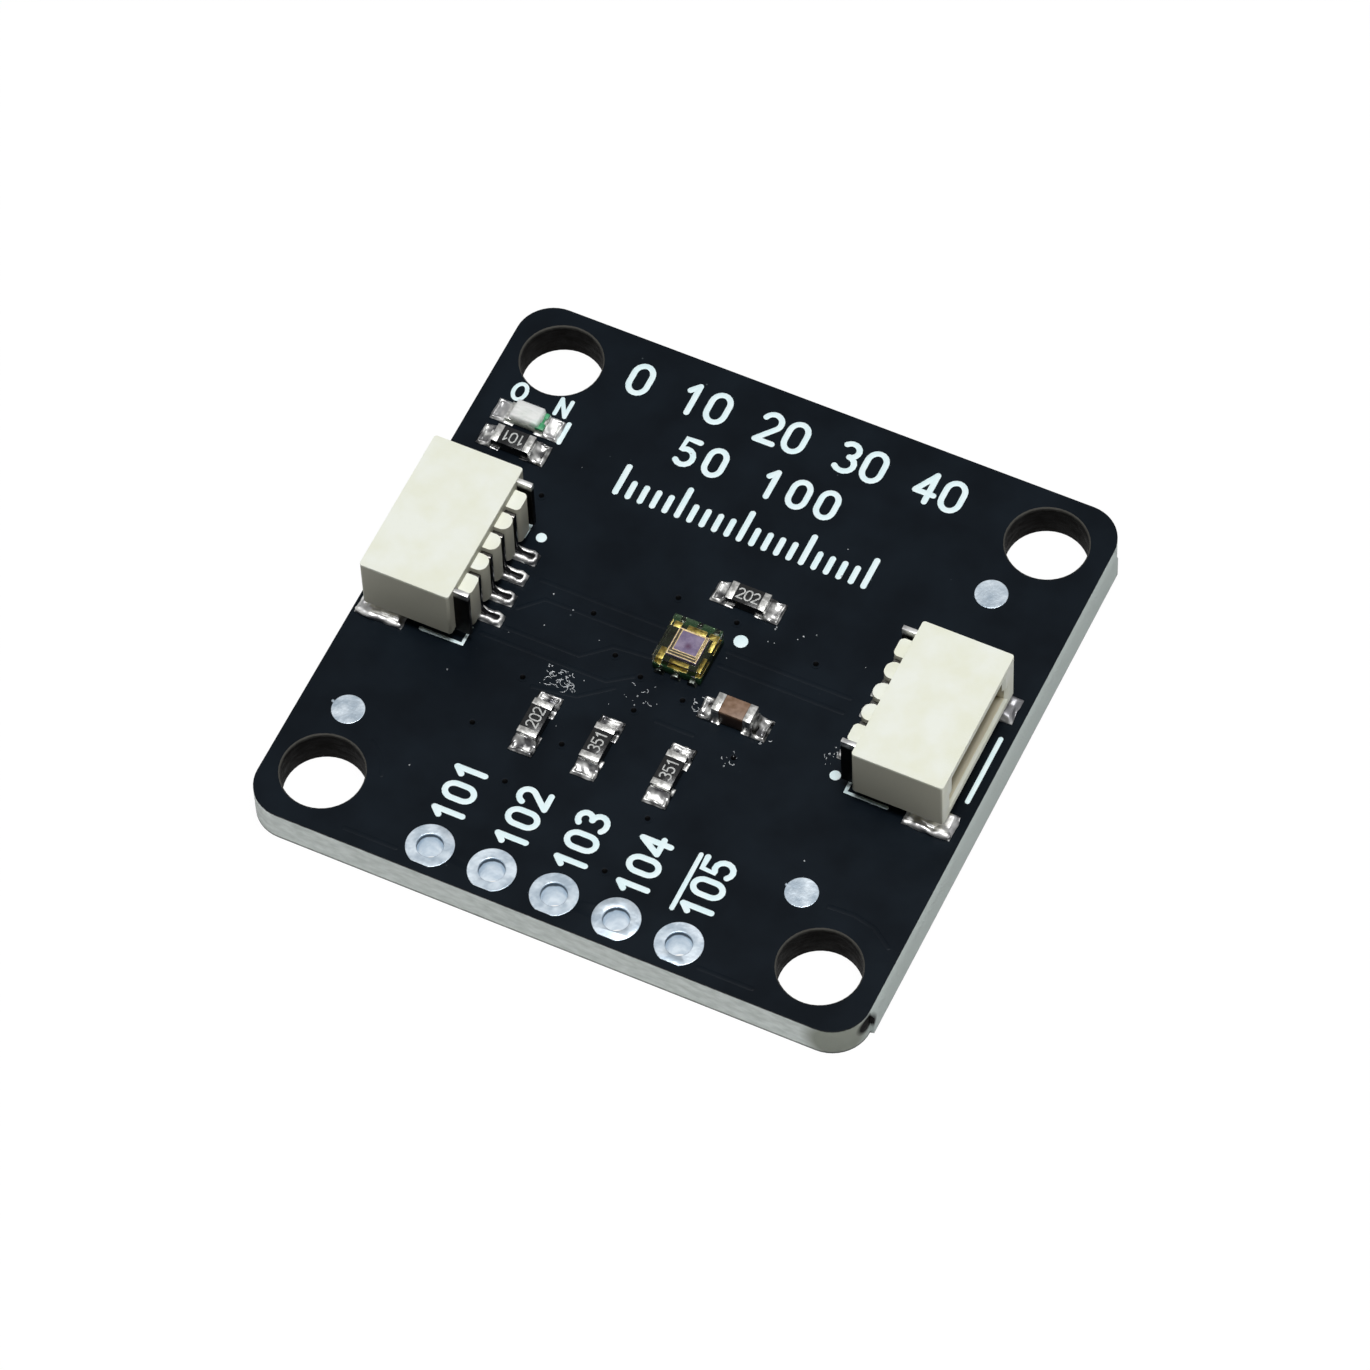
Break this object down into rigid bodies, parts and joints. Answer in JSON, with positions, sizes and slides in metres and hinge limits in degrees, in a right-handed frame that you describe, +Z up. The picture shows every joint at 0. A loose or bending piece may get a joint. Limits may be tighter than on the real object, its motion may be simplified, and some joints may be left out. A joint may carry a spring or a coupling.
{
  "type": "light sensor module",
  "caption": "Small square circuit board with a see-through light sensor at its centre, side-entry connectors on two edges, corner mounting holes and a row of header holes.",
  "frame": {"origin": "centre of the four mounting holes, on the board's underside", "axes": "+Z up through the component side, +X towards the right connector's mouth, the header row on the -Y side"},
  "size_m": [0.0252, 0.025, 0.0048],
  "materials": {
    "board_laminate": "semi-matt dark lacquer over pale glass-fibre laminate",
    "tinned_copper": "tinned, softly uneven",
    "solder": "bright solder with hollow fillets",
    "contact_metal": "tin-plated strip",
    "anchor_metal": "tin-plated strip",
    "housing_plastic": "ivory moulded plastic",
    "sensor_base_laminate": "dark green laminate",
    "sensor_gold": "gold plate",
    "sensor_silicon": "violet silicon with a pale frame",
    "sensor_clear_resin": "clear resin",
    "indicator_milky_resin": "milky resin",
    "indicator_base_laminate": "pale laminate",
    "capacitor_ceramic": "brown ceramic",
    "end_cap_metal": "tinned end caps",
    "resistor_ceramic": "black glaze"
  },
  "bodies": {
    "root": {"board": "board_laminate", "capacitor_body": "capacitor_ceramic", "capacitor_end_caps": "end_cap_metal", "capacitor_solder": "solder", "header_pad_1": "tinned_copper", "header_pad_2": "tinned_copper", "header_pad_3": "tinned_copper", "header_pad_4": "tinned_copper", "header_pad_5": "tinned_copper", "indicator_base": "indicator_base_laminate", "indicator_end_caps": "end_cap_metal", "indicator_lens": "indicator_milky_resin", "indicator_resistor_body": "resistor_ceramic", "indicator_resistor_end_caps": "end_cap_metal", "indicator_resistor_solder": "solder", "indicator_solder": "solder", "left_connector_anchor_solder": "solder", "left_connector_anchor_tab_1": "anchor_metal", "left_connector_anchor_tab_2": "anchor_metal", "left_connector_contact_1": "contact_metal", "left_connector_contact_2": "contact_metal", "left_connector_contact_3": "contact_metal", "left_connector_contact_4": "contact_metal", "left_connector_housing": "housing_plastic", "left_connector_pin_solder": "solder", "lower_resistor_left_body": "resistor_ceramic", "lower_resistor_left_end_caps": "end_cap_metal", "lower_resistor_left_solder": "solder", "lower_resistor_middle_body": "resistor_ceramic", "lower_resistor_middle_end_caps": "end_cap_metal", "lower_resistor_middle_solder": "solder", "lower_resistor_right_body": "resistor_ceramic", "lower_resistor_right_end_caps": "end_cap_metal", "lower_resistor_right_solder": "solder", "right_connector_anchor_solder": "solder", "right_connector_anchor_tab_1": "anchor_metal", "right_connector_anchor_tab_2": "anchor_metal", "right_connector_contact_1": "contact_metal", "right_connector_contact_2": "contact_metal", "right_connector_contact_3": "contact_metal", "right_connector_contact_4": "contact_metal", "right_connector_housing": "housing_plastic", "right_connector_pin_solder": "solder", "sensor_base": "sensor_base_laminate", "sensor_clear_body": "sensor_clear_resin", "sensor_die": "sensor_silicon", "sensor_leads": "sensor_gold", "sensor_solder": "solder", "tinned_disc_left": "tinned_copper", "tinned_disc_right": "tinned_copper", "tinned_disc_upper": "tinned_copper", "upper_resistor_body": "resistor_ceramic", "upper_resistor_end_caps": "end_cap_metal", "upper_resistor_solder": "solder"}
  },
  "joints": []
}
